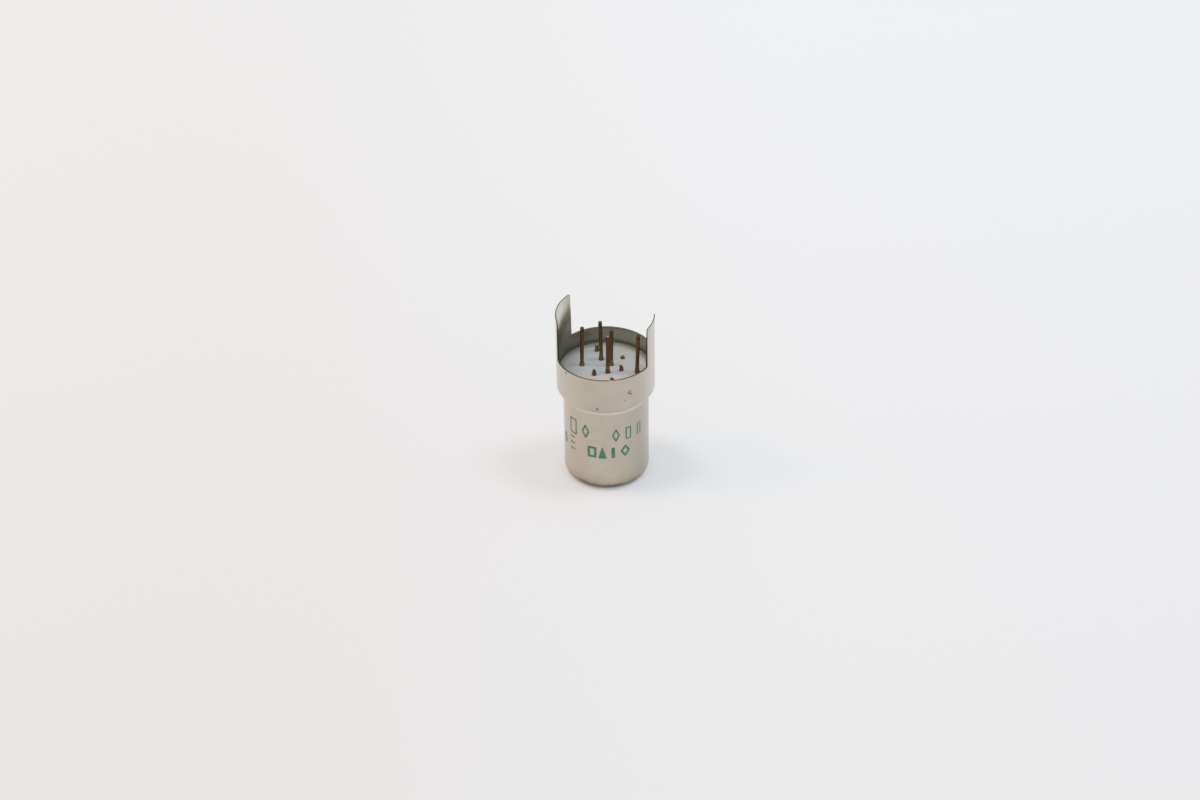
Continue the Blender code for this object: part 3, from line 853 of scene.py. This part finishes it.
def build_shell(nickel, cut_edge):
    """The drawn can, skirt and lugs. The faces where the sheet was cut get the second material."""
    bm = bmesh.new()
    angles = shell_angles()
    outside, inside = outside_profile(), inside_profile()
    rings = [[bm.verts.new(shell_point(a, r, z)) for a in angles] for r, z in outside + inside]
    count = len(angles)
    rim_row = len(outside) - 1
    narrow = lug_root_angle(NARROW_LUG_HALF_ANGLE)
    wide = lug_root_angle(WIDE_LUG_HALF_ANGLE)

    def under_lug(i):
        """Whether a lug stands on the rim between this column and the next."""
        middle = (angles[i] + (angles[i + 1] if i + 1 < count else angles[0] + 2 * pi)) / 2
        return abs(middle) < narrow or abs(middle - pi) < wide

    for row, (low, high) in enumerate(zip(rings, rings[1:])):
        for i in range(count):
            j = (i + 1) % count
            if row != rim_row or not under_lug(i):
                face = bm.faces.new((low[i], low[j], high[j], high[i]))
                face.material_index = int(row == rim_row)
    for ring, centre_z in ((rings[0], 0), (rings[-1], LEDGE_Z)):
        centre = bm.verts.new((0, 0, centre_z))
        for i in range(count):
            bm.faces.new((ring[i], ring[(i + 1) % count], centre))

    columns = [i for i in range(count) if under_lug(i)]
    for middle, half_angle, found in (
        (0, NARROW_LUG_HALF_ANGLE, [i for i in columns if abs(angles[i]) < pi / 2]),
        (pi, WIDE_LUG_HALF_ANGLE, [i for i in columns if abs(angles[i]) > pi / 2]),
    ):
        indexes = found + [found[-1] + 1]
        raise_lug(bm, rings[rim_row], rings[rim_row + 1], indexes, middle, half_angle)

    bmesh.ops.recalc_face_normals(bm, faces=bm.faces)
    corners = [edge for edge in bm.edges if is_cut_corner(edge)]
    bmesh.ops.bevel(
        bm, geom=corners, offset=CUT_ROUNDING, segments=2, affect="EDGES", profile=0.5, material=1
    )
    add_piece("shell", bm, (nickel, cut_edge), ["metal_shell"], CUT_SHARP_ANGLE)


def unevenness(angle, seed, lumps):
    """Raggedness round a small round piece, from -1 to 1: more lumps make it finer."""
    coarse = noise.noise(Vector((lumps * cos(angle), lumps * sin(angle), seed)))
    fine = noise.noise(Vector((3 * lumps * cos(angle), 3 * lumps * sin(angle), seed + 0.5)))
    return coarse + 0.6 * fine


def join_loops(bm, first, second):
    for i in range(len(first)):
        j = (i + 1) % len(first)
        bm.faces.new((first[i], first[j], second[j], second[i]))


def add_solid(bm, rings):
    """Joins rings of points into a closed solid. Returns the faces of its last end."""
    loops = [[bm.verts.new(point) for point in ring] for ring in rings]
    for low, high in zip(loops, loops[1:]):
        join_loops(bm, low, high)
    end = []
    for loop in (loops[0], loops[-1]):
        middle = bm.verts.new(sum((vertex.co for vertex in loop), Vector()) / len(loop))
        end = [bm.faces.new((loop[i - 1], loop[i], middle)) for i in range(len(loop))]
    return end


def add_collar(bm, centre, wall, spread, height, sides, seed):
    """An uneven hollow-sided fillet of braze, which climbs a round wall from the wafer and thins out.

    A negative spread points inwards, as the seal's does. The fillet's back is buried in the wall.
    """
    lumps = PIN_LUMPS if spread > 0 else SEAL_LUMPS
    back = wall - copysign(BURIED, spread)
    sections = []
    for i in range(sides):
        angle = 2 * pi * i / sides
        foot = spread * (1 + RAGGED * unevenness(angle, seed, lumps))
        top = height * (1 + RAGGED * unevenness(angle, seed + 5, lumps))
        section = [(back, WAFER_FACE_Z + top), (back, WAFER_FACE_Z - BURIED)]
        for step in range(FILLET_STEPS + 1):
            share = step / FILLET_STEPS
            r = wall + foot * (1 - share) ** FILLET_CURVE - copysign(0.6 * BURIED, spread) * share**3
            section.append((r, WAFER_FACE_Z - BURIED * (1 - share) + top * share))
        loop = []
        for r, z in section:
            loop.append(bm.verts.new((centre.x + r * cos(angle), centre.y + r * sin(angle), z)))
        sections.append(loop)
    for i in range(sides):
        join_loops(bm, sections[i - 1], sections[i])


def build_seal(metal):
    bm = bmesh.new()
    add_collar(bm, Vector(), SKIRT_BORE, -SEAL_WIDTH, SEAL_HEIGHT, SEAL_SIDES, seed=2.4)
    add_piece("seal", bm, [metal], ["wafer_seal"])


def lead_centre(name):
    """Where a lead stands: the solid of its braze is round, so the middle of its box is on its axis."""
    low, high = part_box(name + "_braze")
    return (low + high) / 2


def build_braze(name, foot, height, copper, seed):
    """The copper round a lead's foot. It climbs the long pins, and half of a short stub."""
    bm = bmesh.new()
    add_collar(bm, lead_centre(name), lead_radius(name), foot, height, BRAZE_SIDES, seed)
    add_piece(name + "_copper", bm, [copper], [name + "_braze"])


def lead_radius(name):
    """Half of a lead's width. A bent lead's box is wider by as much as the lead leans."""
    low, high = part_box(name)
    return (high.x - low.x - abs(low.x + high.x - 2 * lead_centre(name).x)) / 2


def build_pin(name, metal, cut_metal, seed):
    """A contact pin: straight out of its braze, then a little bent and crooked, with a worn tip."""
    low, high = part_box(name)
    centre = lead_centre(name)
    radius = lead_radius(name)
    bend = low + high - 2 * centre
    bend_z = WAFER_FACE_Z + PIN_STRAIGHT
    slope_turn = 2 * pi * noise.cell(Vector((seed, 0, 0)))

    def ring(z, inset):
        """The pin's outline at a height, drawn in by the inset."""
        share = max(0.0, (z - bend_z) / (high.z - bend_z))
        sway = PIN_SWAY * min(1.0, 3 * share)
        x = centre.x + bend.x * share + sway * noise.noise(Vector((z / SWAY_LENGTH, seed, 0)))
        y = centre.y + bend.y * share + sway * noise.noise(Vector((z / SWAY_LENGTH, seed, 5)))
        points = []
        for i in range(LEAD_SIDES):
            angle = 2 * pi * i / LEAD_SIDES
            around = Vector((3 * cos(angle), 3 * sin(angle), z / PIT_LENGTH + 9 * seed))
            r = radius - inset + PIN_PITS * noise.noise(around)
            near_tip = max(0.0, 1 - (high.z - z) / (4 * TIP_ROUNDING))
            drop = TIP_SLOPE * near_tip * (radius + r * cos(angle - slope_turn)) / 2
            points.append((x + r * cos(angle), y + r * sin(angle), z - drop))
        return points

    rings = [ring(low.z, 0)]
    rings += [ring(z, 0) for z in rows_between(WAFER_FACE_Z - 2 * BURIED, high.z - TIP_ROUNDING)]
    for step in range(1, TIP_STEPS + 1):
        turn = pi / 2 * step / TIP_STEPS
        z = high.z - TIP_ROUNDING * (1 - sin(turn))
        rings.append(ring(z, TIP_ROUNDING * (1 - cos(turn))))
    bm = bmesh.new()
    for face in add_solid(bm, rings):
        face.material_index = 1
    add_piece(name + "_lead", bm, [metal, cut_metal], [name])


def build_stub(name, shorter, direction, length, width, lean, slope, nick, metal, cut_metal):
    """A short lead, pinched by the cutters to an uneven edge that may end in two prongs."""
    low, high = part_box(name)
    centre = lead_centre(name)
    radius = lead_radius(name)

    def ring(z, share):
        """The stub's outline at a height, pinched and rough by its share of the way to the edge."""
        points = []
        for i in range(LEAD_SIDES):
            angle = 2 * pi * i / LEAD_SIDES
            along = radius * (1 + (length - 1) * share**1.5) * cos(angle)
            across = radius * (1 + (width - 1) * share**0.8) * sin(angle)
            around = Vector((cos(angle), sin(angle), 1.5 * share + centre.x / MM))
            along += lean * share + STUB_ROUGHNESS * share * noise.noise(around)
            across += STUB_ROUGHNESS * share * noise.noise(around * 1.7)
            drop = share * (nick * (1 - abs(cos(angle))) ** 0.7 - slope * (along - abs(radius * slope)))
            x = centre.x + along * cos(direction) - across * sin(direction)
            y = centre.y + along * sin(direction) + across * cos(direction)
            points.append((x, y, z - max(0.0, drop)))
        return points

    shares = [step / SNIP_STEPS for step in range(SNIP_STEPS + 1)]
    top = high.z - shorter
    depth = SNIP_DEPTH * (top - WAFER_FACE_Z)
    rings = [ring(low.z, 0)] + [ring(top - depth * (1 - share), share) for share in shares]
    bm = bmesh.new()
    for face in add_solid(bm, rings):
        face.material_index = 1
    add_piece(name + "_lead", bm, [metal, cut_metal], [name], CUT_SHARP_ANGLE)


def outline(rows):
    """The outer points of a grid, in order round it from the start of its first row."""
    up = [row[-1] for row in rows[1:-1]]
    down = [row[0] for row in rows[-2:0:-1]]
    return rows[0] + up + rows[-1][::-1] + down


def add_film(bm, bearing, radius, stations, thickness):
    """A closed thin film on the shell's side. A station is a point of each edge and how far it rises.

    A point is its distance round the shell from the bearing, and its height.
    """
    widest = max((Vector(left) - Vector(right)).length for left, right, _ in stations)
    columns = max(2, ceil(widest / FILM_STEP))
    tops, bottoms = [], []
    for left, right, rise in stations:
        top, bottom = [], []
        for i in range(columns + 1):
            share = i / columns
            u, z = Vector(left).lerp(Vector(right), share)
            bulge = rise * (1 - (2 * share - 1) ** 4)
            lift = thickness * (FILM_EDGE + (1 - FILM_EDGE) * bulge)
            top.append(bm.verts.new(shell_point(bearing + u / radius, radius + lift, z)))
            bottom.append(bm.verts.new(shell_point(bearing + u / radius, radius - BURIED, z)))
        tops.append(top)
        bottoms.append(bottom)
    for grid in (tops, bottoms):
        for low, high in zip(grid, grid[1:]):
            for i in range(columns):
                bm.faces.new((low[i], low[i + 1], high[i + 1], high[i]))
    join_loops(bm, outline(tops), outline(bottoms))


def add_stroke(bm, bearing, start, end, start_width, end_width, thickness, seed):
    """One stroke of ink, with the uneven edges and rounded ends that a rubber stamp leaves."""
    length = (end - start).length
    forward = (end - start) / length
    side = Vector((-forward.y, forward.x))
    count = max(3, ceil(length / FILM_STEP))
    stations = []
    for i in range(count + 1):
        share = i / count
        middle = start.lerp(end, share)
        half = (start_width + (end_width - start_width) * share) / 2
        if i in (0, count):
            half *= STROKE_END
        along = share * length / INK_WAVE_LENGTH
        left = half + INK_EDGE_WAVE * noise.noise(Vector((along, seed, 0)))
        right = half + INK_EDGE_WAVE * noise.noise(Vector((along, seed, 7)))
        stations.append((middle - side * left, middle + side * right, 1))
    add_film(bm, bearing, CAN_RADIUS, stations, thickness)


def build_mark(name, shape, bearing, low, high, width, stroke, ink, seed):
    """A stamped shape: its strokes lie over each other, each a little thicker than the one below."""
    bm = bmesh.new()
    inset = stroke / 2 if len(shape) > 1 else 0
    for number, (start, end, start_share, end_share) in enumerate(shape):
        ends = []
        for u, v in (start, end):
            x = (u - 0.5) * (width - 2 * inset)
            z = low + inset + v * (high - low - 2 * inset)
            ends.append(Vector((x, z)))
        overlap = (ends[1] - ends[0]).normalized() * inset * STROKE_OVERLAP
        start, end = ends[0] - overlap, ends[1] + overlap
        widths = (stroke * start_share, stroke * end_share)
        thickness = INK_THICKNESS * (1 + STROKE_LIFT * number)
        add_stroke(bm, bearing, start, end, *widths, thickness, seed + 3 * number)
    add_piece(name, bm, [ink])


def build_speck(name, bearing, z, width, height, dirt, seed):
    """A flake of corrosion, lumpy and ragged round its edge."""
    stations = []
    for step in range(SPECK_STEPS + 1):
        along = -1 + 2 * step / SPECK_STEPS
        half = width / 2 * sqrt(max(0.04, 1 - along * along))
        left = half * (1 + SPECK_RAGGED * noise.noise(Vector((2 * along, seed, 1))))
        right = half * (1 + SPECK_RAGGED * noise.noise(Vector((2 * along, seed, 4))))
        middle = SPECK_SWAY * width * noise.noise(Vector((1.5 * along, seed, 8)))
        row_z = z + along * height / 2
        stations.append(((middle - left, row_z), (middle + right, row_z), 1 - along * along))
    bm = bmesh.new()
    add_film(bm, bearing, SKIRT_RADIUS, stations, SPECK_THICKNESS)
    add_piece(name, bm, [dirt])


add_camera()
add_world()
for lamp in LAMPS:
    add_lamp(*lamp)
add_floor()

build_shell(make_nickel(), make_cut_edge())
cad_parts["ceramic_wafer"].material_slots[0].material = make_ceramic()
build_seal(make_seal_metal())

lead_metal = make_lead_metal()
dark_cut = make_cut_lead("dark_cut_lead", *DARK_CUT_TONES)
pale_and_glint_cut = make_cut_lead("bright_cut_lead", *PALE_AND_GLINT_CUT_TONES)
copper = make_copper()
leads = [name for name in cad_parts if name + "_braze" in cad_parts]
snips = {name: shape for name, *shape in SNIPS}
for seed, name in enumerate(leads):
    # A pale cut end; on heater_pin_2 it is a painted glint
    cut_metal = pale_and_glint_cut if name in PALE_AND_GLINT_TIPS else dark_cut
    if name in snips:
        build_stub(name, *snips[name], lead_metal, cut_metal)
        stub_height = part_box(name)[1].z - WAFER_FACE_Z
        build_braze(name, STUB_BRAZE_FOOT, STUB_BRAZE_SHARE * stub_height, copper, seed)
    else:
        build_pin(name, lead_metal, cut_metal, seed)
        build_braze(name, PIN_BRAZE_FOOT, PIN_BRAZE_HEIGHT, copper, seed)

ink = make_ink()
for number, (shape, degrees, *lengths) in enumerate(MARKS):
    lengths = [length * MM for length in lengths]
    build_mark(f"ink_mark_{number + 1}", shape, radians(degrees), *lengths, ink, 10 * number)
dirt = make_rust()
for number, (degrees, *lengths) in enumerate(SPECKS):
    lengths = [length * MM for length in lengths]
    build_speck(f"speck_{number + 1}", radians(degrees), *lengths, dirt, number)

bpy.context.scene.view_settings.view_transform = "Standard"
